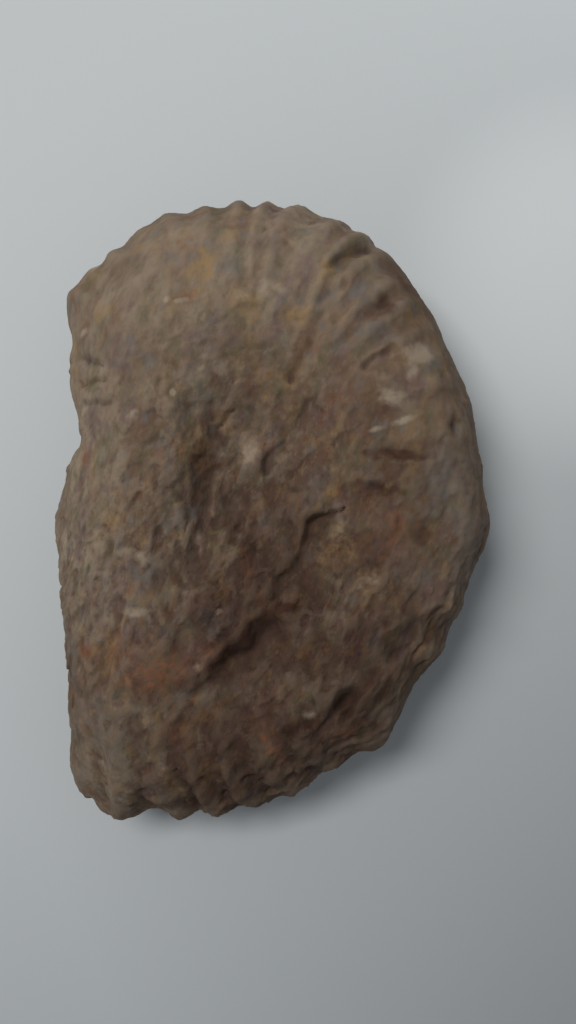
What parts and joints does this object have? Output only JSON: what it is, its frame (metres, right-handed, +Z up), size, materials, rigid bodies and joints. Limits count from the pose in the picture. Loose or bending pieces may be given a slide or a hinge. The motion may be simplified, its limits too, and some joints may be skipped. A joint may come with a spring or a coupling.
{
  "type": "ammonite fossil",
  "caption": "Weathered ribbed ammonite fossil in brown limestone, broken along its left side, with a cracked umbilical hollow; lies flat on its worn underside.",
  "frame": {"origin": "middle of the stone's bounding box, on the plane it rests on", "axes": "+Z up from the resting plane, +Y along the stone's length towards its strongly ribbed rounded end, +X towards the whole round edge, away from the broken side"},
  "size_m": [0.0614, 0.0875, 0.0268],
  "materials": {
    "limestone": "matt, weathered and earthy, with rust and ochre stains and small pale calcite flecks"
  },
  "bodies": {
    "root": {"ammonite_fossil": "limestone"}
  },
  "joints": []
}
